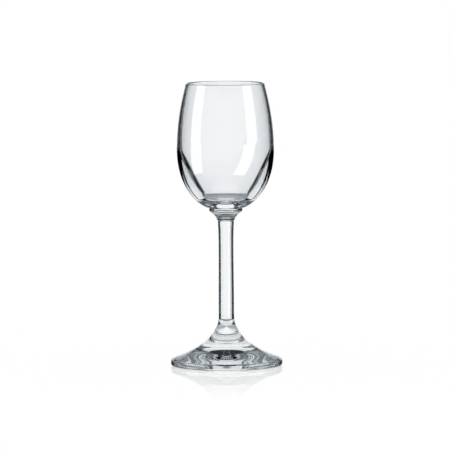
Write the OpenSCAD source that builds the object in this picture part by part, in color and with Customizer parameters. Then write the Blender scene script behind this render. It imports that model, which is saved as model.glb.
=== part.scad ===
// Cordial glass: a blown bowl, a flared neck button, a solid drawn stem and a conical foot.
// Each piece is a gather of clear glass, turned about the Z axis and welded to the next on a
// flat round seam. The glass stands on z = 0. Lengths are in millimetres, angles in degrees.

/* [Foot] */
// Widest diameter of the foot
foot_d = 53.2; // [46:0.2:60]
// Height of the foot, from the table to its weld with the stem
foot_h = 19.4; // [16:0.2:24]
// Thickness of the foot at its rounded edge
foot_edge_t = 3.2; // [2.6:0.1:4]
// Rounding of the foot's edge
foot_edge_r = 1.1; // [0.7:0.1:1.3]
// Height of the foot's edge above the table
foot_edge_lift = 0.15; // [0.05:0.05:0.4]
// Distance from the foot's edge in to the flat ring that it stands on
foot_ring_inset = 1.3; // [1.3:0.1:3]
// Width of the flat ring that it stands on
foot_ring_w = 1.6; // [0.8:0.1:2]
// Height of the hollow under the middle of the foot
foot_hollow_h = 3.4; // [0.6:0.1:4.5]
// Slope of the foot's upper side next to its edge
foot_edge_slope = 31; // [24:1:36]
// Lean of the foot's upper side from upright, where it meets the stem
foot_top_lean = 22; // [12:1:30]

/* [Stem] */
// Length of the stem between its two welds
stem_len = 49.9; // [40:0.1:70]
// Diameter of the weld between foot and stem
stem_foot_d = 8.8; // [8:0.1:10]
// Diameter of the stem just above its flare into the foot
stem_low_d = 7.45; // [6.4:0.05:7.8]
// Diameter of the stem at its waist
stem_waist_d = 7.15; // [6:0.05:7.6]
// Height of the flare at the stem's lower end
stem_flare_h = 7; // [5:0.5:10]
// Diameter of the shoulder at the stem's upper end
stem_shoulder_d = 7.8; // [7.6:0.1:8.4]
// Rounding of the shoulder
stem_shoulder_r = 0.3; // [0.2:0.05:0.5]

/* [Neck button] */
// Diameter of the weld between stem and neck button
neck_weld_d = 7.3; // [6.4:0.1:7.4]
// Diameter of the button's lower edge
neck_low_d = 8.5; // [8:0.1:10]
// Diameter of the button's upper edge, which is welded to the bowl
neck_top_d = 15.9; // [13:0.1:17]
// Height of the neck button
neck_h = 6; // [5:0.1:8]
// Height of the upright band round the button's upper edge
neck_band_h = 0.9; // [0.5:0.1:1.2]
// Height of the chamfer under the button's lower edge
neck_chamfer_h = 0.4; // [0.2:0.05:0.6]

/* [Bowl] */
// Height of the bowl, from its weld to the rim
bowl_h = 59.7; // [50:0.1:70]
// Diameter of the bowl at its widest
bowl_d = 46.4; // [42:0.1:50]
// Height of the widest place above the weld
belly_h = 28.1; // [24:0.1:32]
// Outside diameter of the rim
rim_d = 37.9; // [33:0.1:41]
// Lean of the wall from upright at the rim
rim_lean = 13.5; // [6:0.5:18]
// Slope of the bowl's underside next to the weld
base_slope = 13; // [5:1:25]

/* [Glass thickness] */
// Thickness of the wall at the rim
rim_t = 1.2; // [0.9:0.05:1.6]
// Thickness of the wall at the widest place
wall_t = 1.35; // [1.1:0.05:2]
// Thickness of the solid glass under the floor of the bowl
base_t = 4.25; // [4:0.05:6]

/* [Cavity] */
// Diameter of the cavity where its funnelled side turns to the floor
cavity_low_d = 22; // [19:0.1:25]
// Height of that turn above the floor
cavity_low_h = 1.2; // [0.8:0.05:2]
// Slope of the cavity's side at that turn
cavity_slope = 42; // [36:1:48]

/* [Hidden] */

turn_fn = 128;
curve_steps = 20;
round_steps = 6;
glass_tint = [0.85, 0.90, 0.91, 0.5];

// Lengths of the curves' handles, as shares of the sizes that they follow
foot_edge_handle_share = 0.14;
foot_top_handle_share = 0.61;
hollow_middle_share = 0.46;
hollow_ring_share = 0.88;
flare_low_share = 0.3;
flare_high_share = 0.45;
waist_height_share = 0.74;
waist_handle_share = 0.4;
shoulder_narrow_share = 0.92;
shoulder_handle_share = 0.3;
neck_low_handle_share = 0.42;
neck_low_widen_share = 0.03;
neck_top_handle_share = 0.12;
neck_top_bulge_share = 0.02;
base_handle_share = 0.18;
belly_low_share = 0.69;
belly_high_share = 0.5;
rim_handle_share = 0.1;
cavity_height_share = 0.478;
cavity_high_share = 0.55;
side_high_share = 0.15;
side_low_share = 0.485;
turn_share = 0.087;
floor_handle_share = 0.515;

// Heights of the seams, of the widest place and of the rim
stem_z = foot_h;
neck_z = stem_z + stem_len;
bowl_z = neck_z + neck_h;
belly_z = bowl_z + belly_h;
rim_z = bowl_z + bowl_h;

// A point at the given angle and distance from another
function away(p, angle, length) = [p.x + length * cos(angle), p.y + length * sin(angle)];

// Points of a smooth curve with two end points and two handles
function curve(a, b, c, d) = [
    for (i = [0:curve_steps])
        let (t = i / curve_steps, s = 1 - t)
            s * s * s * a + 3 * s * s * t * b + 3 * s * t * t * c + t * t * t * d
];

// Points of a circular arc
function round_edge(centre, radius, from, to) = [
    for (i = [0:round_steps]) away(centre, from + (to - from) * i / round_steps, radius)
];

// A list of points without its first one, for joining outlines
function rest_of(points) = [for (i = [1:len(points) - 1]) points[i]];

// Foot: hollow underside, flat ring, rounded edge and a flared cone up to the stem
function foot_outline() =
    let (
        ring_out = foot_d / 2 - foot_ring_inset,
        ring_in = ring_out - foot_ring_w,
        edge_x = foot_d / 2 - foot_edge_r,
        low = [edge_x, foot_edge_lift + foot_edge_r],
        high = [edge_x, foot_edge_lift + foot_edge_t - foot_edge_r],
        top_edge = away(high, 90 - foot_edge_slope, foot_edge_r),
        weld = [stem_foot_d / 2, stem_z]
    )
    concat(
        curve(
            [0, foot_hollow_h],
            [ring_in * hollow_middle_share, foot_hollow_h],
            [ring_in * hollow_ring_share, foot_hollow_h * (1 - hollow_ring_share)],
            [ring_in, 0]
        ),
        [[ring_out, 0]],
        round_edge(low, foot_edge_r, -90, 0),
        round_edge(high, foot_edge_r, 0, 90 - foot_edge_slope),
        rest_of(curve(
            top_edge,
            away(top_edge, 180 - foot_edge_slope, foot_edge_handle_share * foot_d / 2),
            away(weld, foot_top_lean - 90, foot_top_handle_share * foot_h),
            weld
        )),
        [[0, stem_z]]
    );

// Stem: short flare out of the foot, long waisted shaft and a rounded shoulder
function stem_outline() =
    let (
        weld = [stem_foot_d / 2, stem_z],
        low = [stem_low_d / 2, stem_z + stem_flare_h],
        waist = [stem_waist_d / 2, stem_z + stem_len * waist_height_share],
        shoulder = [stem_shoulder_d / 2, neck_z - 2 * stem_shoulder_r],
        shaft_h = waist.y - low.y,
        upper_h = shoulder.y - waist.y
    )
    concat(
        [[0, stem_z]],
        curve(
            weld,
            away(weld, 90 + foot_top_lean, flare_low_share * stem_flare_h),
            low - [0, flare_high_share * stem_flare_h],
            low
        ),
        rest_of(curve(
            low,
            low + [0, waist_handle_share * shaft_h],
            waist - [0, waist_handle_share * shaft_h],
            waist
        )),
        rest_of(curve(
            waist,
            waist + [0, waist_handle_share * upper_h],
            [shoulder.x * shoulder_narrow_share, shoulder.y - shoulder_handle_share * upper_h],
            shoulder
        )),
        rest_of(round_edge(shoulder + [-stem_shoulder_r, stem_shoulder_r], stem_shoulder_r, 0, 90)),
        [[neck_weld_d / 2, neck_z], [0, neck_z]]
    );

// Neck button: narrow weld, chamfered lower edge, flared side and an upright band at the bowl
function neck_outline() =
    let (
        low = [neck_low_d / 2, neck_z + neck_chamfer_h],
        top = [neck_top_d / 2, bowl_z - neck_band_h]
    )
    concat(
        [[0, neck_z], [neck_weld_d / 2, neck_z]],
        curve(
            low,
            low + [neck_low_widen_share * neck_top_d / 2, neck_low_handle_share * neck_h],
            top + [neck_top_bulge_share * neck_top_d / 2, -neck_top_handle_share * neck_h],
            top
        ),
        [[neck_top_d / 2, bowl_z], [0, bowl_z]]
    );

// Bowl: outer side from the weld over the belly to the rounded rim, then down the funnelled cavity
// to its floor
function bowl_outline() =
    let (
        weld = [neck_top_d / 2, bowl_z],
        belly = [bowl_d / 2, belly_z],
        rim = [(rim_d - rim_t) / 2, rim_z - rim_t / 2],
        rim_out = away(rim, rim_lean, rim_t / 2),
        rim_in = away(rim, 180, rim_t / 2),
        floor_z = bowl_z + base_t,
        cavity = [bowl_d / 2 - wall_t, bowl_z + bowl_h * cavity_height_share],
        turn = [cavity_low_d / 2, floor_z + cavity_low_h],
        low_h = belly.y - weld.y,
        high_h = rim_out.y - belly.y,
        side_h = cavity.y - turn.y
    )
    concat(
        [[0, bowl_z]],
        curve(
            weld,
            away(weld, base_slope, base_handle_share * bowl_d / 2),
            belly - [0, belly_low_share * low_h],
            belly
        ),
        rest_of(curve(
            belly,
            belly + [0, belly_high_share * high_h],
            away(rim_out, rim_lean - 90, rim_handle_share * high_h),
            rim_out
        )),
        rest_of(round_edge(rim, rim_t / 2, rim_lean, 90)),
        rest_of(round_edge(rim, rim_t / 2, 90, 180)),
        rest_of(curve(
            rim_in,
            away(rim_in, rim_lean - 90, rim_handle_share * high_h),
            cavity + [0, cavity_high_share * (rim.y - cavity.y)],
            cavity
        )),
        rest_of(curve(
            cavity,
            cavity - [0, side_high_share * side_h],
            away(turn, cavity_slope, side_low_share * side_h),
            turn
        )),
        rest_of(curve(
            turn,
            away(turn, 180 + cavity_slope, turn_share * turn.x),
            [floor_handle_share * turn.x, floor_z],
            [0, floor_z]
        ))
    );

// Turns an outline into a piece of clear glass
module turned(outline) {
    color(glass_tint)
        rotate_extrude($fn = turn_fn)
            polygon(outline);
}

module foot() {
    turned(foot_outline());
}

module stem() {
    turned(stem_outline());
}

module neck_button() {
    turned(neck_outline());
}

module bowl() {
    turned(bowl_outline());
}

foot();
stem();
neck_button();
bowl();
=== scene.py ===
# Cordial glass: four gathers of clear glass, welded one on the other, on a pale studio table.
# Lengths are metres, as Blender keeps them, and the glass stands on z = 0.

import math

import bpy
import numpy as np
from bpy.props import FloatProperty, IntProperty, PointerProperty, StringProperty
from mathutils import Matrix


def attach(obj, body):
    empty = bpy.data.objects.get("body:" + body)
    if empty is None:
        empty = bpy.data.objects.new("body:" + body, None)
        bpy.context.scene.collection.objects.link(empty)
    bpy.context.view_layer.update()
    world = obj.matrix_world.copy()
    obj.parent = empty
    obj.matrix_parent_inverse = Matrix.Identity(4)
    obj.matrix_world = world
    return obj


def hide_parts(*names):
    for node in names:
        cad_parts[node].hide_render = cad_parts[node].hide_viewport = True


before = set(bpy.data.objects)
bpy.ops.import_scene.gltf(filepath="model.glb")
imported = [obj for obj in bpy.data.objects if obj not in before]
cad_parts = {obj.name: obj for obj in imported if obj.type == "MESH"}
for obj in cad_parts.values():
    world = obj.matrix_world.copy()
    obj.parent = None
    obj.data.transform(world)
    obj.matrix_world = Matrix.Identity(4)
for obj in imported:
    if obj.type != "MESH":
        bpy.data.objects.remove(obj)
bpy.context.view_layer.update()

bl_info = {
    "name": "Cordial glass",
    "version": (1, 0, 0),
    "blender": (4, 5, 0),
    "location": "View3D > Sidebar > Cordial glass",
    "description": "Makes a stemmed cordial glass from its four gathers of glass, and a studio stage",
    "category": "Add Mesh",
}

MM = 0.001
DEGREES = 180 / math.pi
QUARTER = math.pi / 2
BODY = "root"


def size(name, text, value, low, high):
    return FloatProperty(
        name=name, description=text, default=value * MM, min=low * MM, max=high * MM,
        unit="LENGTH", precision=5,
    )


def angle(name, text, value, low, high):
    return FloatProperty(
        name=name, description=text, default=math.radians(value),
        min=math.radians(low), max=math.radians(high), subtype="ANGLE",
    )


def share(name, text, value):
    return FloatProperty(name=name, description=text, default=value, min=0, max=1, subtype="FACTOR")


class FootSettings(bpy.types.PropertyGroup):
    """Sizes of the foot"""

    width: size("Width", "Widest diameter of the foot", 53.2, 46, 60)
    height: size("Height", "Height of the foot up to its weld with the stem", 19.4, 16, 24)
    edge_t: size("Edge", "Thickness of the foot at its rounded edge", 3.2, 2.6, 4)
    edge_r: size("Edge rounding", "Rounding of the foot's edge", 1.1, 0.7, 1.3)
    edge_lift: size("Edge lift", "Height of the edge above the table", 0.15, 0.05, 0.4)
    ring_inset: size("Ring inset", "From the edge in to the ring that it stands on", 1.3, 1.2, 3)
    ring_w: size("Ring width", "Width of the flat ring that it stands on", 1.6, 0.8, 2)
    hollow_h: size("Hollow", "Height of the hollow under the foot", 3.4, 0.6, 4.5)
    edge_slope: angle("Edge slope", "Slope of the upper side next to the edge", 31, 24, 36)
    top_lean: angle("Top lean", "Lean of the upper side where it meets the stem", 22, 12, 30)
    edge_handle: share("Edge handle", "Pull of the curve next to the edge", 0.14)
    top_handle: share("Top handle", "Pull of the curve next to the stem", 0.61)
    hollow_middle: share("Hollow middle", "Flatness of the hollow's middle", 0.46)
    hollow_ring: share("Hollow rim", "Steepness of the hollow's rim", 0.88)


class StemSettings(bpy.types.PropertyGroup):
    """Sizes of the stem"""

    length: size("Length", "Length of the stem between its two welds", 49.9, 40, 70)
    foot_d: size("Foot weld", "Diameter of the weld between foot and stem", 8.8, 8, 10)
    low_d: size("Low diameter", "Diameter just above the flare into the foot", 7.45, 6.4, 7.8)
    waist_d: size("Waist", "Diameter of the stem at its waist", 7.15, 6, 7.6)
    flare_h: size("Flare", "Height of the flare at the lower end", 7, 5, 10)
    shoulder_d: size("Shoulder", "Diameter of the shoulder at the upper end", 7.8, 7.6, 8.4)
    shoulder_r: size("Shoulder rounding", "Rounding of the shoulder", 0.3, 0.2, 0.5)
    flare_low: share("Flare low", "Pull of the flare's lower end", 0.3)
    flare_high: share("Flare high", "Pull of the flare's upper end", 0.45)
    waist_height: share("Waist height", "Height of the waist along the stem", 0.74)
    waist_handle: share("Waist handle", "Pull of the curve at the waist", 0.4)
    shoulder_narrow: share("Shoulder narrowing", "Width just under the shoulder", 0.92)
    shoulder_handle: share("Shoulder handle", "Pull of the curve under the shoulder", 0.3)


class NeckSettings(bpy.types.PropertyGroup):
    """Sizes of the neck button"""

    height: size("Height", "Height of the neck button", 6, 5, 8)
    weld_d: size("Weld", "Diameter of the weld between stem and button", 7.3, 6.4, 7.4)
    low_d: size("Lower edge", "Diameter of the button's lower edge", 8.5, 8, 10)
    top_d: size("Upper edge", "Diameter of the edge that is welded to the bowl", 15.9, 13, 17)
    band_h: size("Band", "Height of the upright band round the upper edge", 0.9, 0.5, 1.2)
    chamfer_h: size("Chamfer", "Height of the chamfer under the lower edge", 0.4, 0.2, 0.6)
    low_handle: share("Low handle", "Pull of the flare's lower end", 0.42)
    low_widen: share("Low widening", "Widening of the flare's lower end", 0.03)
    top_handle: share("Top handle", "Pull of the flare's upper end", 0.12)
    top_bulge: share("Top bulge", "Bulge of the flare under the band", 0.02)


class BowlSettings(bpy.types.PropertyGroup):
    """Sizes of the bowl"""

    height: size("Height", "Height of the bowl from its weld to the rim", 59.7, 50, 70)
    width: size("Width", "Diameter of the bowl at its widest", 46.4, 42, 50)
    belly_h: size("Belly height", "Height of the widest place above the weld", 28.1, 24, 32)
    rim_d: size("Rim", "Outside diameter of the rim", 37.9, 33, 41)
    rim_lean: angle("Rim lean", "Lean of the wall from upright at the rim", 13.5, 6, 18)
    base_slope: angle("Base slope", "Slope of the underside next to the weld", 13, 5, 25)
    rim_t: size("Rim thickness", "Thickness of the wall at the rim", 1.2, 0.9, 1.6)
    wall_t: size("Wall thickness", "Thickness of the wall at the belly", 1.35, 1.1, 2)
    base_t: size("Base thickness", "Solid glass under the floor", 4.25, 4, 6)
    low_d: size("Funnel foot", "Diameter of the cavity where its side turns to the floor", 22, 19, 25)
    low_h: size("Funnel height", "Height of that turn above the floor", 1.2, 0.8, 2)
    slope: angle("Funnel slope", "Slope of the cavity's side at that turn", 42, 36, 48)
    base_handle: share("Base handle", "Pull of the outer curve next to the weld", 0.18)
    belly_low: share("Belly low", "Pull of the outer curve under the belly", 0.69)
    belly_high: share("Belly high", "Pull of the outer curve over the belly", 0.5)
    rim_handle: share("Rim handle", "Pull of the curves under the rim", 0.1)
    cavity_height: share("Cavity height", "Height of the cavity's widest place up the bowl", 0.478)
    cavity_high: share("Cavity high", "Pull of the inner curve over the belly", 0.55)
    side_high: share("Side high", "Pull of the inner curve under the belly", 0.15)
    side_low: share("Side low", "Pull of the inner curve over the turn", 0.485)
    turn: share("Turn", "Tightness of the turn to the floor", 0.087)
    floor: share("Floor", "Flatness of the floor", 0.515)


class GlassSettings(bpy.types.PropertyGroup):
    """Finish of the glass, and how finely it is drawn"""

    clear: StringProperty(
        name="Clear glass", description="Tint where the glass is seen face on", default="#FDFEFF",
    )
    edge: StringProperty(
        name="Edge tint", description="Tint where the glass is seen edge on", default="#F0F5F7",
    )
    index: FloatProperty(
        name="Index", description="Refractive index of soda-lime glass", default=1.52, min=1.4, max=1.7,
    )
    ripple: FloatProperty(
        name="Ripple", description="Height of the waves left by blowing",
        default=0.0000008, min=0, max=0.0001, unit="LENGTH", precision=7,
    )
    ripple_width: size("Ripple width", "Distance between the waves left by blowing", 9, 2, 30)
    turn_steps: IntProperty(
        name="Steps round", description="Steps round the axis", default=192, min=32, max=512,
    )
    fineness: size("Fineness", "Distance between the rings of each mesh", 0.55, 0.1, 2)


class StageSettings(bpy.types.PropertyGroup):
    """Table, surroundings and camera"""

    table: StringProperty(
        name="Table", description="Colour of the table and of the bright studio", default="#FFFFFF",
    )
    dim: StringProperty(
        name="Dim studio", description="Colour of the studio where it is dim", default="#DFF3FC",
    )
    camera_distance: FloatProperty(
        name="Camera distance", description="From the axis of the glass",
        default=2.5644, min=0.5, max=10, unit="LENGTH",
    )
    camera_height: FloatProperty(
        name="Camera height", description="Above the table",
        default=0.2769, min=0, max=3, unit="LENGTH",
    )
    camera_pitch: angle("Camera pitch", "How far the camera looks down", 4.6746, 0, 90)
    camera_yaw: angle("Camera yaw", "How far the camera is turned to the left", 0.0095, -5, 5)
    camera_roll: angle("Camera roll", "How far the camera is rolled", -0.35, -5, 5)
    camera_focal: FloatProperty(
        name="Focal length", description="In millimetres on a 36 mm sensor",
        default=431.72, min=10, max=2000,
    )


class CordialGlassSettings(bpy.types.PropertyGroup):
    """All settings of the cordial glass and its stage"""

    foot: PointerProperty(type=FootSettings)
    stem: PointerProperty(type=StemSettings)
    neck: PointerProperty(type=NeckSettings)
    bowl: PointerProperty(type=BowlSettings)
    glass: PointerProperty(type=GlassSettings)
    stage: PointerProperty(type=StageSettings)


# Outlines, as runs of points (radius, height) that are each smooth from end to end

# Molten glass evens out a bend over a short way: sharply in the small button, widest in the bowl
EVENED = 1 * MM
EVENED_OUTSIDE_BOWL = 1.6 * MM
EVENED_IN_BUTTON = 0.3 * MM
# That way is cut into this many steps, and the evening reaches four times as far to either side
EVENED_STEPS = 6
EVENED_REACH = 4 * EVENED_STEPS
LEAST_EVENED_STEPS = 8
LEAST_RINGS = 4
SAME_PLACE = 0.0000001


def point(x, z):
    return np.array([x, z], float)


def away(p, turn, reach):
    return p + reach * point(math.cos(turn), math.sin(turn))


def curve(a, b, c, d, steps=60):
    t = np.linspace(0, 1, steps + 1)[:, None]
    s = 1 - t
    return s ** 3 * a + 3 * s * s * t * b + 3 * s * t * t * c + t ** 3 * d


def arc(centre, radius, start, end, steps=10):
    return np.array([away(centre, start + (end - start) * i / steps, radius) for i in range(steps + 1)])


def joined(*parts):
    return np.vstack([parts[0]] + [p[1:] for p in parts[1:]])


def flowed(points, spacing, spread):
    """Even steps along a smooth run, with its bends evened out over a distance, as in molten glass"""
    along = np.concatenate([[0], np.cumsum(np.hypot(*np.diff(points, axis=0).T))])
    run = along[-1]
    count = max(LEAST_EVENED_STEPS, int(round(run / (spread / EVENED_STEPS))))
    at = np.linspace(0, run, count + 1)
    even = np.c_[np.interp(at, along, points[:, 0]), np.interp(at, along, points[:, 1])]
    step = np.diff(even, axis=0)
    bend = np.unwrap(np.arctan2(step[:, 1], step[:, 0]))
    reach = EVENED_REACH
    kernel = np.exp(-0.5 * (np.arange(-reach, reach + 1) / EVENED_STEPS) ** 2)
    kernel /= kernel.sum()
    padded = np.concatenate([2 * bend[0] - bend[reach:0:-1], bend, 2 * bend[-1] - bend[-2:-reach - 2:-1]])
    bend = np.convolve(padded, kernel, "valid")
    walk = np.cumsum(run / count * np.c_[np.cos(bend), np.sin(bend)], axis=0)
    walked = np.vstack([points[0], points[0] + walk])
    walked += (at / run)[:, None] * (points[-1] - walked[-1])
    where = np.linspace(0, count, max(LEAST_RINGS, int(round(run / spacing))) + 1)
    index = np.arange(count + 1)
    return np.c_[np.interp(where, index, walked[:, 0]), np.interp(where, index, walked[:, 1])]


def foot_runs(s, stem, fine):
    ring_out = s.width / 2 - s.ring_inset
    ring_in = ring_out - s.ring_w
    edge_x = s.width / 2 - s.edge_r
    low = point(edge_x, s.edge_lift + s.edge_r)
    high = point(edge_x, s.edge_lift + s.edge_t - s.edge_r)
    top_edge = away(high, QUARTER - s.edge_slope, s.edge_r)
    weld = point(stem.foot_d / 2, s.height)
    hollow = curve(
        point(0, s.hollow_h),
        point(ring_in * s.hollow_middle, s.hollow_h),
        point(ring_in * s.hollow_ring, s.hollow_h * (1 - s.hollow_ring)),
        point(ring_in, 0),
    )
    top = curve(
        top_edge,
        away(top_edge, math.pi - s.edge_slope, s.edge_handle * s.width / 2),
        away(weld, s.top_lean - QUARTER, s.top_handle * s.height),
        weld,
    )
    return [
        flowed(hollow, fine, EVENED),
        np.array([point(ring_in, 0), point(ring_out, 0)]),
        np.array([point(ring_out, 0), away(low, -QUARTER, s.edge_r)]),
        joined(arc(low, s.edge_r, -QUARTER, 0), arc(high, s.edge_r, 0, QUARTER - s.edge_slope)),
        flowed(top, fine, EVENED),
    ]


def stem_runs(s, z, lean, button_d, fine):
    weld = point(s.foot_d / 2, z)
    low = point(s.low_d / 2, z + s.flare_h)
    top_z = z + s.length
    waist = point(s.waist_d / 2, z + s.length * s.waist_height)
    shoulder = point(s.shoulder_d / 2, top_z - 2 * s.shoulder_r)
    shaft_h = waist[1] - low[1]
    upper_h = shoulder[1] - waist[1]
    side = joined(
        curve(
            weld,
            away(weld, QUARTER + lean, s.flare_low * s.flare_h),
            low - point(0, s.flare_high * s.flare_h),
            low,
        ),
        curve(
            low,
            low + point(0, s.waist_handle * shaft_h),
            waist - point(0, s.waist_handle * shaft_h),
            waist,
        ),
        curve(
            waist,
            waist + point(0, s.waist_handle * upper_h),
            point(shoulder[0] * s.shoulder_narrow, shoulder[1] - s.shoulder_handle * upper_h),
            shoulder,
        ),
    )
    rounding = arc(shoulder + point(-s.shoulder_r, s.shoulder_r), s.shoulder_r, 0, QUARTER, 6)
    return [
        flowed(side, fine, EVENED),
        rounding,
        np.array([rounding[-1], point(button_d / 2, top_z)]),
    ]


def neck_runs(s, z, fine):
    low = point(s.low_d / 2, z + s.chamfer_h)
    top = point(s.top_d / 2, z + s.height - s.band_h)
    side = curve(
        low,
        low + point(s.low_widen * s.top_d / 2, s.low_handle * s.height),
        top + point(s.top_bulge * s.top_d / 2, -s.top_handle * s.height),
        top,
    )
    return [
        np.array([point(s.weld_d / 2, z), low]),
        flowed(side, fine / 2, EVENED_IN_BUTTON),
        np.array([top, point(s.top_d / 2, z + s.height)]),
    ]


def bowl_runs(s, z, weld_d, fine):
    weld = point(weld_d / 2, z)
    belly = point(s.width / 2, z + s.belly_h)
    rim = point((s.rim_d - s.rim_t) / 2, z + s.height - s.rim_t / 2)
    rim_out = away(rim, s.rim_lean, s.rim_t / 2)
    rim_in = away(rim, math.pi, s.rim_t / 2)
    floor_z = z + s.base_t
    cavity = point(s.width / 2 - s.wall_t, z + s.height * s.cavity_height)
    turn = point(s.low_d / 2, floor_z + s.low_h)
    low_h = belly[1] - weld[1]
    high_h = rim_out[1] - belly[1]
    side_h = cavity[1] - turn[1]
    outer = joined(
        curve(
            weld,
            away(weld, s.base_slope, s.base_handle * s.width / 2),
            belly - point(0, s.belly_low * low_h),
            belly,
        ),
        curve(
            belly,
            belly + point(0, s.belly_high * high_h),
            away(rim_out, s.rim_lean - QUARTER, s.rim_handle * high_h),
            rim_out,
        ),
    )
    inner = joined(
        curve(
            rim_in,
            away(rim_in, s.rim_lean - QUARTER, s.rim_handle * high_h),
            cavity + point(0, s.cavity_high * (rim[1] - cavity[1])),
            cavity,
        ),
        curve(
            cavity,
            cavity - point(0, s.side_high * side_h),
            away(turn, s.slope, s.side_low * side_h),
            turn,
        ),
        curve(
            turn,
            away(turn, math.pi + s.slope, s.turn * turn[0]),
            point(s.floor * turn[0], floor_z),
            point(0, floor_z),
        ),
    )
    return [
        flowed(outer, fine, EVENED_OUTSIDE_BOWL),
        joined(arc(rim, s.rim_t / 2, s.rim_lean, QUARTER), arc(rim, s.rim_t / 2, QUARTER, math.pi)),
        flowed(inner, fine, EVENED),
    ]


# Meshes

def whole_outline(runs, low_weld, high_weld):
    """The runs as one outline from axis to axis, and the places of its sharp corners"""
    outline = []
    corners = set()
    for p in np.vstack(runs):
        if outline and np.hypot(*(outline[-1] - p)) < SAME_PLACE:
            corners.add(len(outline) - 1)
        else:
            outline.append(p)
    if low_weld:
        outline.insert(0, point(0, outline[0][1]))
        corners = {c + 1 for c in corners} | {1}
    if high_weld:
        corners.add(len(outline) - 1)
        outline.append(point(0, outline[-1][1]))
    outline = np.array(outline)
    outline[[0, -1], 0] = 0
    return outline, corners


def sharpened(mesh, corners, steps, last):
    """Marks the edges round the piece that lie on the outline's corners as sharp"""
    ends = np.zeros(len(mesh.edges) * 2, int)
    mesh.edges.foreach_get("vertices", ends)
    ends = ends.reshape(-1, 2)
    ring_of = (ends - 1) // steps
    off_axis = (ends > 0).all(1) & (ends < last).all(1)
    round_ring = off_axis & (ring_of[:, 0] == ring_of[:, 1])
    sharp = round_ring & np.isin(ring_of[:, 0], [c - 1 for c in corners])
    attribute = mesh.attributes.new("sharp_edge", "BOOLEAN", "EDGE")
    attribute.data.foreach_set("value", sharp)


def turned(name, runs, low_weld, high_weld, steps):
    """A closed piece turned about the axis; a welded end is flat and takes the seam's material"""
    outline, corners = whole_outline(runs, low_weld, high_weld)
    around = np.linspace(0, 2 * math.pi, steps, endpoint=False)
    circle = np.c_[np.cos(around), np.sin(around)]
    verts = [(0, 0, outline[0, 1])]
    for radius, height in outline[1:-1]:
        verts.extend((radius * c, radius * s, height) for c, s in circle)
    last = len(verts)
    verts.append((0, 0, outline[-1, 1]))
    bands = len(outline) - 3
    top = 1 + bands * steps
    sides = [(k, (k + 1) % steps) for k in range(steps)]
    faces = [(0, 1 + n, 1 + k) for k, n in sides]
    for a in range(1, top, steps):
        b = a + steps
        faces.extend((a + k, a + n, b + n, b + k) for k, n in sides)
    faces.extend((top + k, top + n, last) for k, n in sides)
    slots = [int(low_weld)] * steps + [0] * (bands * steps) + [int(high_weld)] * steps
    mesh = bpy.data.meshes.new(name)
    mesh.from_pydata(verts, [], faces)
    mesh.polygons.foreach_set("material_index", slots)
    mesh.polygons.foreach_set("use_smooth", [True] * len(faces))
    sharpened(mesh, corners, steps, last)
    mesh.update()
    mesh.validate()
    piece = bpy.data.objects.new(name, mesh)
    bpy.context.scene.collection.objects.link(piece)
    return piece


# Materials

def linear(code):
    """An sRGB hex colour as linear red, green and blue, with full alpha"""
    values = []
    for k in (1, 3, 5):
        v = int(code[k:k + 2], 16) / 255
        values.append(v / 12.92 if v <= 0.04045 else ((v + 0.055) / 1.055) ** 2.4)
    return (*values, 1.0)


def add(tree, kind, inputs=(), **options):
    """A node with its options, and its inputs set to values or linked; a node stands for its first output"""
    node = tree.nodes.new("ShaderNode" + kind)
    for key, value in options.items():
        setattr(node, key, value)
    for key, value in inputs.items() if isinstance(inputs, dict) else enumerate(inputs):
        if isinstance(value, bpy.types.Node):
            value = value.outputs[0]
        if isinstance(value, bpy.types.NodeSocket):
            tree.links.new(value, node.inputs[key])
        else:
            node.inputs[key].default_value = value
    return node


def fresh(owner):
    owner.use_nodes = True
    owner.node_tree.nodes.clear()
    return owner.node_tree


EDGE_TINT_SPREAD = 0.35


def soda_lime_glass(s):
    """Blown, drawn and fire polished soda-lime glass"""
    name = "soda_lime_glass_fire_polished"
    found = bpy.data.materials.get(name)
    if found:
        return found
    # The eye sees a clear body with a mirror-bright skin. Where the glass is seen edge on the way
    # through it is long, and the little iron in it shows as a cool grey-green. Blowing and drawing
    # leave waves some millimetres apart that are only just felt in the reflections.
    material = bpy.data.materials.new(name)
    tree = fresh(material)
    facing = add(tree, "LayerWeight", {"Blend": EDGE_TINT_SPREAD}).outputs["Facing"]
    tint = add(tree, "Mix", {0: facing, 6: linear(s.clear), 7: linear(s.edge)}, data_type="RGBA")
    place = add(tree, "TexCoord").outputs["Object"]
    waves = add(
        tree, "TexNoise", {"Vector": place, "Scale": 1 / s.ripple_width, "Detail": 1.0, "Roughness": 0.4}
    )
    bump = add(tree, "Bump", {"Height": waves, "Strength": 1.0, "Distance": s.ripple})
    glass = {
        "Base Color": tint.outputs[2], "Normal": bump, "Roughness": 0.0, "IOR": s.index,
        "Transmission Weight": 1.0, "Metallic": 0.0,
    }
    add(tree, "OutputMaterial", {"Surface": add(tree, "BsdfPrincipled", glass)})
    return material


def fused_seam():
    """The face where two gathers have melted into one"""
    name = "fused_seam_inside_the_glass"
    found = bpy.data.materials.get(name)
    if found:
        return found
    # Molten glass joins without a skin between the gathers, so light crosses the weld unbent and
    # the eye sees nothing there. Only the ring where the weld comes to the surface shows.
    material = bpy.data.materials.new(name)
    tree = fresh(material)
    add(tree, "OutputMaterial", {"Surface": add(tree, "BsdfTransparent")})
    return material


# Pieces

def piece_made(s, node, runs, low_weld, high_weld):
    """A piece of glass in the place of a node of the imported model"""
    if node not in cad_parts:
        raise RuntimeError("the packed model has no node " + node)
    piece = turned(node + "_glass", runs, low_weld, high_weld, s.glass.turn_steps)
    piece.data.materials.append(soda_lime_glass(s.glass))
    piece.data.materials.append(fused_seam())
    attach(piece, BODY)
    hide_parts(node)


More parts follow.
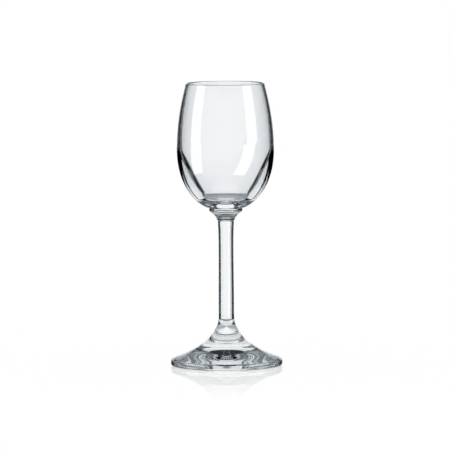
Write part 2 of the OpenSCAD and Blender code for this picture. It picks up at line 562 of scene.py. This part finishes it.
class CORDIAL_OT_foot(bpy.types.Operator):
    """Make the conical foot"""

    bl_idname = "cordial.make_foot"
    bl_label = "Make foot"

    def execute(self, context):
        s = context.scene.cordial_glass
        piece_made(s, "foot", foot_runs(s.foot, s.stem, s.glass.fineness), False, True)
        return {"FINISHED"}


class CORDIAL_OT_stem(bpy.types.Operator):
    """Make the drawn stem"""

    bl_idname = "cordial.make_stem"
    bl_label = "Make stem"

    def execute(self, context):
        s = context.scene.cordial_glass
        runs = stem_runs(s.stem, s.foot.height, s.foot.top_lean, s.neck.weld_d, s.glass.fineness)
        piece_made(s, "stem", runs, True, True)
        return {"FINISHED"}


class CORDIAL_OT_neck(bpy.types.Operator):
    """Make the neck button"""

    bl_idname = "cordial.make_neck"
    bl_label = "Make neck button"

    def execute(self, context):
        s = context.scene.cordial_glass
        z = s.foot.height + s.stem.length
        piece_made(s, "neck_button", neck_runs(s.neck, z, s.glass.fineness), True, True)
        return {"FINISHED"}


class CORDIAL_OT_bowl(bpy.types.Operator):
    """Make the blown bowl"""

    bl_idname = "cordial.make_bowl"
    bl_label = "Make bowl"

    def execute(self, context):
        s = context.scene.cordial_glass
        z = s.foot.height + s.stem.length + s.neck.height
        piece_made(s, "bowl", bowl_runs(s.bowl, z, s.neck.top_d, s.glass.fineness), True, False)
        return {"FINISHED"}


# Lit patches of the studio, seen only through the glass and in it. Each row has a name, two turns and
# their softness, two heights or distances and their softness, and a level. Turns are degrees from
# straight behind the glass, positive to the right, or either way where a table is for both sides. A
# patch of the sky lies between two heights in degrees, a patch of the table between two distances
# from the axis in metres. An open side is None.

# On the table these patches are painted light: the table itself glows at their levels where the glass shows
# it, and is painted dark between them.
# Every way through the glass and off it
SKY_BOTH_SIDES = (
    ("back_panel", None, 14.5, 1.0, None, 14.0, 4.0, 1.0),
    ("back_panel_top", None, 11.0, 2.0, 10.0, 23.5, 1.5, 0.8),
    ("upper_side", 30.0, 50.0, 4.0, 8.5, 24.0, 1.0, 0.40),
    ("side", 27.0, 96.0, 4.0, 9.0, 22.0, 2.0, 0.25),
    ("overhead", 40.0, None, 8.0, 56.0, None, 5.0, 0.75),
)
SKY_ONE_SIDE = (
    ("back_panel_high", -27.0, 21.0, 2.0, 4.7, 14.0, 0.4, 0.95),
)
TABLE_BOTH_SIDES = (
    ("lit_wedge_near", None, 14.0, 1.0, 0.075, None, 0.01, 0.33),
    ("near", None, 50.0, 8.0, None, 0.080, 0.006, 0.8),
)
TABLE_ONE_SIDE = (
    ("lit_wedge", -13.0, 14.5, 1.0, 0.19, None, 0.015, 1.0),
)
# These two are painted glow on the table, lying between two places to the right of the axis and two places
# behind it, in metres
TABLE_GLOW_PATCHES = (
    ("left_glow_patch", -0.135, -0.065, 0.003, 0.050, 0.190, 0.010, 0.9),
    ("right_glow_patch", 0.065, 0.135, 0.003, 0.050, 0.172, 0.010, 0.9),
)

# Straight through the foot, the stem or the button, in place of the tables above
SKY_STRAIGHT = (
    ("wide_panel", None, 35.0, 3.0, None, 8.5, 0.8, 0.7),
    ("middle_panel", None, 24.0, 9.0, None, 8.5, 0.8, 0.93),
    ("overhead", 40.0, None, 8.0, 56.0, None, 5.0, 0.75),
    ("beside_panel", 78.0, 112.0, 2.0, None, 30.0, 4.0, 1.0),
    ("quarter_panel", 120.0, 152.0, 2.0, None, 30.0, 4.0, 1.0),
    ("front_panel", 160.0, None, 2.0, None, 30.0, 4.0, 1.0),
)
TABLE_STRAIGHT = (
    ("wide_wedge", None, 34.0, 3.0, 0.10, None, 0.02, 0.7),
    ("middle_wedge", None, 24.0, 9.0, 0.10, None, 0.02, 0.93),
    ("near", None, 90.0, 8.0, None, 0.075, 0.006, 0.8),
    ("beside_panel", 78.0, 112.0, 2.0, None, None, 0.0, 1.0),
    ("quarter_panel", 120.0, 152.0, 2.0, None, None, 0.0, 1.0),
    ("front_panel", 160.0, None, 2.0, None, None, 0.0, 1.0),
)

# Straight through both walls of the bowl, which keeps it clear from the sides and from behind
SKY_THROUGH_BOWL = (
    ("near_panel", 28.0, 62.0, 2.0, None, 30.0, 4.0, 1.0),
    ("beside_panel", 70.0, 112.0, 2.0, None, 30.0, 4.0, 1.0),
    ("quarter_panel", 120.0, 152.0, 2.0, None, 30.0, 4.0, 1.0),
    ("front_panel", 160.0, None, 2.0, None, 30.0, 4.0, 1.0),
)
TABLE_THROUGH_BOWL = (
    ("near_panel", 28.0, 62.0, 2.0, 0.10, None, 0.03, 1.0),
    ("beside_panel", 70.0, 112.0, 2.0, None, None, 0.0, 1.0),
    ("quarter_panel", 120.0, 152.0, 2.0, None, None, 0.0, 1.0),
    ("front_panel", 160.0, None, 2.0, None, None, 0.0, 1.0),
)

# Mirrored inside the foot, the stem or the button
SKY_MIRRORED = (
    ("back_panel_wide", None, 24.0, 2.0, 8.0, 24.0, 1.5, 0.8),
)

# Mirrored more than once inside the glass
SKY_CAMERA_SIDE = (
    ("camera_side", 150.0, None, 8.0, None, 30.0, 6.0, 1.0),
)
TABLE_CAMERA_SIDE = (
    ("camera_side", 150.0, None, 8.0, 0.15, None, 0.035, 1.0),
)

# Mirrored once, off the outside or off the wall that it came in by
SKY_BETWEEN_STRIPS = (
    ("between_right", 128.0, None, 1.5, None, 26.0, 5.0, 0.9),
    ("between_left", None, -119.0, 1.5, None, 26.0, 5.0, 0.9),
)
TABLE_BETWEEN_LEFT = (
    ("between_left", None, -122.5, 1.5, 0.15, None, 0.03, 0.9),
)
TABLE_BETWEEN_RIGHT = (
    ("between_right", 136.0, None, 2.0, 0.15, None, 0.03, 0.9),
)

# Off the outside alone: the two strip lights whose long highlights run down the bowl
SKY_LIGHTS = (
    ("left_strip", -119.0, -89.0, 1.5, None, 30.0, 4.0, 4.5),
    ("right_strip", 98.0, 128.0, 1.5, None, 30.0, 4.0, 4.5),
)
# On the table the strips go on as painted light: the table glows at the strips' level in two bands that only
# the bowl's outer skin shows.
TABLE_LEFT_LIGHT = (
    ("left_strip_low", -122.5, -91.0, 1.5, 0.21, None, 0.015, 4.5),
)
TABLE_RIGHT_LIGHT = (
    ("right_strip_low", 105.0, 136.0, 2.0, 0.165, None, 0.015, 4.5),
)
# Turns of the right strip on the table are taken from a place this far to the left and in front
RIGHT_LIGHT_PLACE = (0.035, 0.070)

SKY_DARK = 0.03
TABLE_DARK = 0.0
# Light that has been mirrored many times inside the glass is evened out towards a level
EVEN_LEVEL = 0.45
EVEN_SHARE = 0.25
# Under the foot the table is seen through the hollow and has painted shade and light: brightest behind, and
# evenly dim from this turn on
UNDER_FOOT_REACH = 0.025
UNDER_FOOT_TURN = 45.0
UNDER_FOOT_LEVELS = (0.47, 1.05)
# Light Path counts in whole numbers, so these part one count from the next
ONE_OR_MORE = 0.5
TWO_OR_MORE = 1.5
THREE_OR_MORE = 2.5


def lit(tree, turn, reach, patches):
    """The highest of some patches at a turn and a height or distance"""
    total = None
    for name, turn_from, turn_to, turn_soft, low, high, soft, level in patches:
        value = level
        edges = (
            (turn, turn_from, turn_soft), (turn, turn_to, -turn_soft),
            (reach, low, soft), (reach, high, -soft),
        )
        for source, edge, spread in edges:
            if edge is None:
                continue
            ends = {"Value": source, "From Min": edge - spread, "From Max": edge + spread}
            step = add(tree, "MapRange", ends, interpolation_type="SMOOTHSTEP", label=name)
            value = add(tree, "Math", (value, step), operation="MULTIPLY")
        total = value if total is None else add(tree, "Math", (total, value), operation="MAXIMUM")
    return total


def turn_of(tree, x, y):
    """Degrees from straight behind the glass, and the same without its sign"""
    turn = add(tree, "Math", (x, y), operation="ARCTAN2")
    turn = add(tree, "Math", (turn, DEGREES), operation="MULTIPLY")
    return turn, add(tree, "Math", (turn,), operation="ABSOLUTE")


def seen_in_glass(tree):
    """1 where the ray comes out of the glass or off it"""
    path = add(tree, "LightPath").outputs
    return add(tree, "Math", (path["Is Glossy Ray"], path["Is Transmission Ray"]), operation="MAXIMUM")


def ways(tree):
    """1 for each way that a ray took through the glass or off it, and 0 for the others"""
    path = add(tree, "LightPath").outputs
    mirrorings = path["Glossy Depth"]
    crossings = path["Transmission Depth"]
    solid = add(tree, "Math", (crossings, THREE_OR_MORE), operation="LESS_THAN")
    hollow = add(tree, "Math", (crossings, THREE_OR_MORE), operation="GREATER_THAN")
    outside = add(tree, "Math", (crossings, ONE_OR_MORE), operation="LESS_THAN")
    inside = add(tree, "Math", (crossings, ONE_OR_MORE), operation="GREATER_THAN")
    plain = add(tree, "Math", (mirrorings, ONE_OR_MORE), operation="LESS_THAN")
    mirrored = add(tree, "Math", (mirrorings, ONE_OR_MORE), operation="GREATER_THAN")
    folded = add(tree, "Math", (mirrorings, TWO_OR_MORE), operation="GREATER_THAN")
    once = add(tree, "Math", (mirrored, folded), operation="SUBTRACT")
    inside_solid = add(tree, "Math", (inside, solid), operation="MULTIPLY")
    pairs = {
        "through_solid": (plain, solid),
        "through_bowl": (plain, hollow),
        "off_skin": (outside, mirrored),
        "off_near_wall": (once, solid),
        "mirrored_in_solid": (inside_solid, mirrored),
        "folded_inside": (inside, folded),
    }
    return {name: add(tree, "Math", pair, operation="MULTIPLY") for name, pair in pairs.items()}


def blended(tree, dark, levels, chosen, straight, lights):
    """The highest of some levels, with those that only some ways through the glass show"""
    way = ways(tree)
    total = dark
    for level in levels:
        total = add(tree, "Math", (total, level), operation="MAXIMUM")
    for name, level in chosen:
        level = add(tree, "Math", (way[name], level), operation="MULTIPLY")
        total = add(tree, "Math", (total, level), operation="MAXIMUM")
    straight = add(tree, "Math", (straight, dark), operation="MAXIMUM")
    total = add(tree, "Mix", {0: way["through_solid"], 2: total, 3: straight}, data_type="FLOAT")
    lights = add(tree, "Math", (way["off_skin"], lights), operation="MULTIPLY")
    return add(tree, "Math", (total, lights), operation="ADD")


def evened(tree, level):
    """The level, evened out where light has been mirrored many times inside the glass"""
    mirrorings = add(tree, "LightPath").outputs["Glossy Depth"]
    many = add(tree, "Math", (mirrorings, THREE_OR_MORE), operation="GREATER_THAN")
    some = add(tree, "Math", (many, EVEN_SHARE), operation="MULTIPLY")
    return add(tree, "Mix", {0: some, 2: level, 3: EVEN_LEVEL}, data_type="FLOAT")


def shining(tree, kind, level, s):
    """A shader that shines at a level: white where the studio is bright, cooler where it is dim"""
    colour = add(tree, "Mix", {0: level, 6: linear(s.dim), 7: linear(s.table)}, data_type="RGBA")
    return add(tree, kind, {"Color": colour.outputs[2], "Strength": level})


def make_world(s):
    """Plain white light on everything, and a studio of panels that only the glass shows"""
    world = bpy.data.worlds.new("studio_surroundings")
    bpy.context.scene.world = world
    tree = fresh(world)
    where = add(tree, "TexCoord").outputs["Generated"]
    x, y, z = add(tree, "SeparateXYZ", (where,)).outputs
    height = add(tree, "Math", (z,), operation="ARCSINE")
    height = add(tree, "Math", (height, DEGREES), operation="MULTIPLY")
    turn, spread = turn_of(tree, x, y)
    chosen = (
        ("through_bowl", lit(tree, spread, height, SKY_THROUGH_BOWL)),
        ("off_near_wall", lit(tree, turn, height, SKY_BETWEEN_STRIPS)),
        ("mirrored_in_solid", lit(tree, spread, height, SKY_MIRRORED)),
        ("folded_inside", lit(tree, spread, height, SKY_CAMERA_SIDE)),
    )
    levels = (lit(tree, spread, height, SKY_BOTH_SIDES), lit(tree, turn, height, SKY_ONE_SIDE))
    straight = lit(tree, spread, height, SKY_STRAIGHT)
    lights = lit(tree, turn, height, SKY_LIGHTS)
    level = evened(tree, blended(tree, SKY_DARK, levels, chosen, straight, lights))
    level = add(tree, "Mix", {0: seen_in_glass(tree), 2: 1.0, 3: level}, data_type="FLOAT")
    add(tree, "OutputWorld", {"Surface": shining(tree, "Background", level, s)})


# The table is laid just under the glass, so that the two never share a face
TABLE_SIZE = 60.0
TABLE_GAP = 0.00002
# Its mirror skin shows near the glass and fades out with the distance from the axis
MIRROR_FADES = (0.16, 0.01)
MIRROR_SHARE = 0.32
# It shows in front of the glass, and all round it as far as the foot reaches
MIRROR_TURNS = (100.0, 140.0)
MIRROR_FOOT = 0.03
# This share of the table's white is lit by the world, so that the glass darkens it a little there
MATT_SHARE = 0.12


def table_in_glass(tree, x, y, turn, spread, reach):
    """The level of the table as the glass shows it: painted light, in patches"""
    levels = (
        lit(tree, spread, reach, TABLE_BOTH_SIDES),
        lit(tree, turn, reach, TABLE_ONE_SIDE),
        lit(tree, x, y, TABLE_GLOW_PATCHES),
    )
    from_left = add(tree, "Math", (x, RIGHT_LIGHT_PLACE[0]), operation="ADD")
    from_front = add(tree, "Math", (y, RIGHT_LIGHT_PLACE[1]), operation="ADD")
    right_turn = turn_of(tree, from_left, from_front)[0]
    lights = (lit(tree, turn, reach, TABLE_LEFT_LIGHT), lit(tree, right_turn, reach, TABLE_RIGHT_LIGHT))
    between = (lit(tree, turn, reach, TABLE_BETWEEN_LEFT), lit(tree, right_turn, reach, TABLE_BETWEEN_RIGHT))
    chosen = (
        ("through_bowl", lit(tree, spread, reach, TABLE_THROUGH_BOWL)),
        ("off_near_wall", add(tree, "Math", between, operation="MAXIMUM")),
        ("folded_inside", lit(tree, spread, reach, TABLE_CAMERA_SIDE)),
    )
    straight = lit(tree, spread, reach, TABLE_STRAIGHT)
    lights = add(tree, "Math", lights, operation="MAXIMUM")
    patches = blended(tree, TABLE_DARK, levels, chosen, straight, lights)
    # Painted shade under the foot, lighter behind it, in place of the foot's shadow and the light it lets
    # through
    beside, behind = UNDER_FOOT_LEVELS
    ends = {"Value": spread, "From Min": UNDER_FOOT_TURN, "From Max": 0.0, "To Min": beside, "To Max": behind}
    under = add(tree, "MapRange", ends, interpolation_type="SMOOTHSTEP")
    below = add(tree, "Math", (reach, UNDER_FOOT_REACH), operation="LESS_THAN")
    return evened(tree, add(tree, "Mix", {0: below, 2: patches, 3: under}, data_type="FLOAT"))


def white_acrylic(s):
    """Cast white acrylic sheet, polished"""
    # The eye sees an even white from above, with a mirror skin that shows a faint image of the glass near its
    # foot. Through the glass the sheet shows painted light: it glows in patches, is painted dark between them
    # and has painted shade under the foot.
    material = bpy.data.materials.new("polished_white_acrylic_and_painted_glow")
    tree = fresh(material)
    place = add(tree, "NewGeometry").outputs["Position"]
    x, y, z = add(tree, "SeparateXYZ", (place,)).outputs
    turn, spread = turn_of(tree, x, y)
    reach = add(tree, "VectorMath", (place,), operation="LENGTH").outputs["Value"]
    shown = shining(tree, "Emission", table_in_glass(tree, x, y, turn, spread, reach), s)
    far, close = MIRROR_FADES
    ends = {"Value": reach, "From Min": far, "From Max": close, "To Min": 0.0, "To Max": MIRROR_SHARE}
    fade = add(tree, "MapRange", ends, interpolation_type="SMOOTHSTEP")
    beside, in_front = MIRROR_TURNS
    ends = {"Value": spread, "From Min": beside, "From Max": in_front}
    front = add(tree, "MapRange", ends, interpolation_type="SMOOTHSTEP")
    near = add(tree, "Math", (reach, MIRROR_FOOT), operation="LESS_THAN")
    where = add(tree, "Math", (front, near), operation="MAXIMUM")
    fade = add(tree, "Math", (fade, where), operation="MULTIPLY")
    white = linear(s.table)
    mirror = add(tree, "BsdfGlossy", {"Color": white, "Roughness": 0.0})
    glow = add(tree, "Emission", {"Color": white})
    matt = add(tree, "BsdfDiffuse", {"Color": white})
    base = add(tree, "MixShader", (MATT_SHARE, glow, matt))
    direct = add(tree, "MixShader", (fade, base, mirror))
    add(tree, "OutputMaterial", {"Surface": add(tree, "MixShader", (seen_in_glass(tree), direct, shown))})
    return material


def make_table(s):
    half = TABLE_SIZE / 2
    mesh = bpy.data.meshes.new("table_top")
    corners = [(-half, -half, 0), (half, -half, 0), (half, half, 0), (-half, half, 0)]
    mesh.from_pydata(corners, [], [(0, 1, 2, 3)])
    mesh.materials.append(white_acrylic(s))
    table = bpy.data.objects.new("table_top", mesh)
    bpy.context.scene.collection.objects.link(table)
    table.location.z = -TABLE_GAP


SENSOR_WIDTH = 36
VIEW_END = 200


def make_camera(s):
    data = bpy.data.cameras.new("photo_camera")
    data.sensor_width = SENSOR_WIDTH
    data.lens = s.camera_focal
    data.clip_end = VIEW_END
    camera = bpy.data.objects.new("photo_camera", data)
    bpy.context.scene.collection.objects.link(camera)
    bpy.context.scene.camera = camera
    tilt = Matrix.Rotation(QUARTER - s.camera_pitch, 4, "X")
    yaw = Matrix.Rotation(s.camera_yaw, 4, "Z")
    roll = Matrix.Rotation(s.camera_roll, 4, "Z")
    place = Matrix.Translation((0, -s.camera_distance, s.camera_height))
    camera.matrix_world = place @ yaw @ tilt @ roll


# Light crosses the foot and the button many times before it leaves them
BOUNCES = 32
MIRROR_BOUNCES = 12


class CORDIAL_OT_stage(bpy.types.Operator):
    """Make the table, the surroundings and the camera"""

    bl_idname = "cordial.make_stage"
    bl_label = "Make stage"

    def execute(self, context):
        scene = context.scene
        s = scene.cordial_glass.stage
        make_world(s)
        make_table(s)
        make_camera(s)
        scene.view_settings.view_transform = "Standard"
        scene.cycles.max_bounces = BOUNCES
        scene.cycles.transmission_bounces = BOUNCES
        scene.cycles.transparent_max_bounces = BOUNCES
        scene.cycles.glossy_bounces = MIRROR_BOUNCES
        return {"FINISHED"}


PARTS = (
    ("foot", "cordial.make_foot"),
    ("stem", "cordial.make_stem"),
    ("neck", "cordial.make_neck"),
    ("bowl", "cordial.make_bowl"),
    ("glass", None),
    ("stage", "cordial.make_stage"),
)


class CORDIAL_PT_panel(bpy.types.Panel):
    """Settings and buttons of the cordial glass"""

    bl_idname = "CORDIAL_PT_panel"
    bl_label = "Cordial glass"
    bl_space_type = "VIEW_3D"
    bl_region_type = "UI"
    bl_category = "Cordial glass"

    def draw(self, context):
        for part, button in PARTS:
            box = self.layout.box()
            group = getattr(context.scene.cordial_glass, part)
            for key in group.__annotations__:
                box.prop(group, key)
            if button:
                box.operator(button)


CLASSES = (
    FootSettings,
    StemSettings,
    NeckSettings,
    BowlSettings,
    GlassSettings,
    StageSettings,
    CordialGlassSettings,
    CORDIAL_OT_foot,
    CORDIAL_OT_stem,
    CORDIAL_OT_neck,
    CORDIAL_OT_bowl,
    CORDIAL_OT_stage,
    CORDIAL_PT_panel,
)


def register():
    for cls in CLASSES:
        bpy.utils.register_class(cls)
    bpy.types.Scene.cordial_glass = PointerProperty(type=CordialGlassSettings)


def unregister():
    del bpy.types.Scene.cordial_glass
    for cls in reversed(CLASSES):
        bpy.utils.unregister_class(cls)


def main():
    register()
    bpy.ops.cordial.make_foot()
    bpy.ops.cordial.make_stem()
    bpy.ops.cordial.make_neck()
    bpy.ops.cordial.make_bowl()
    bpy.ops.cordial.make_stage()


if __name__ == "__main__":
    main()
